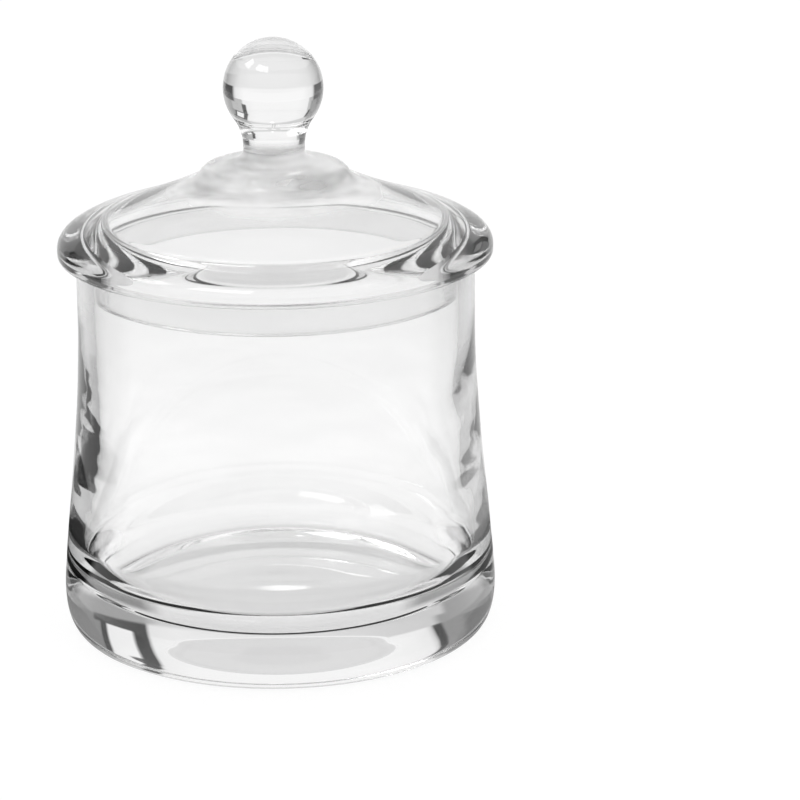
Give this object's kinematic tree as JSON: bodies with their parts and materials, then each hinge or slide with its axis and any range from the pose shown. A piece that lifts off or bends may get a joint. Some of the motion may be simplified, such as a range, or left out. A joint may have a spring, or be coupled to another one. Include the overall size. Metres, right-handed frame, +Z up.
{
  "type": "acrylic jar with lid",
  "caption": "Clear thick-walled acrylic storage jar with a loose domed lid and a ball knob, gently tapered body and heavy rounded base.",
  "frame": {"origin": "centre of the flat foot, on the surface that the jar stands on", "axes": "+Z up along the axis of the jar and its lid; X and Y are alike, because both pieces are bodies of revolution"},
  "size_m": [0.1, 0.1, 0.1372],
  "materials": {
    "jar_acrylic": "clear polished acrylic",
    "lid_acrylic": "clear polished acrylic"
  },
  "bodies": {
    "root": {"jar": "jar_acrylic", "lid": "lid_acrylic"}
  },
  "joints": []
}
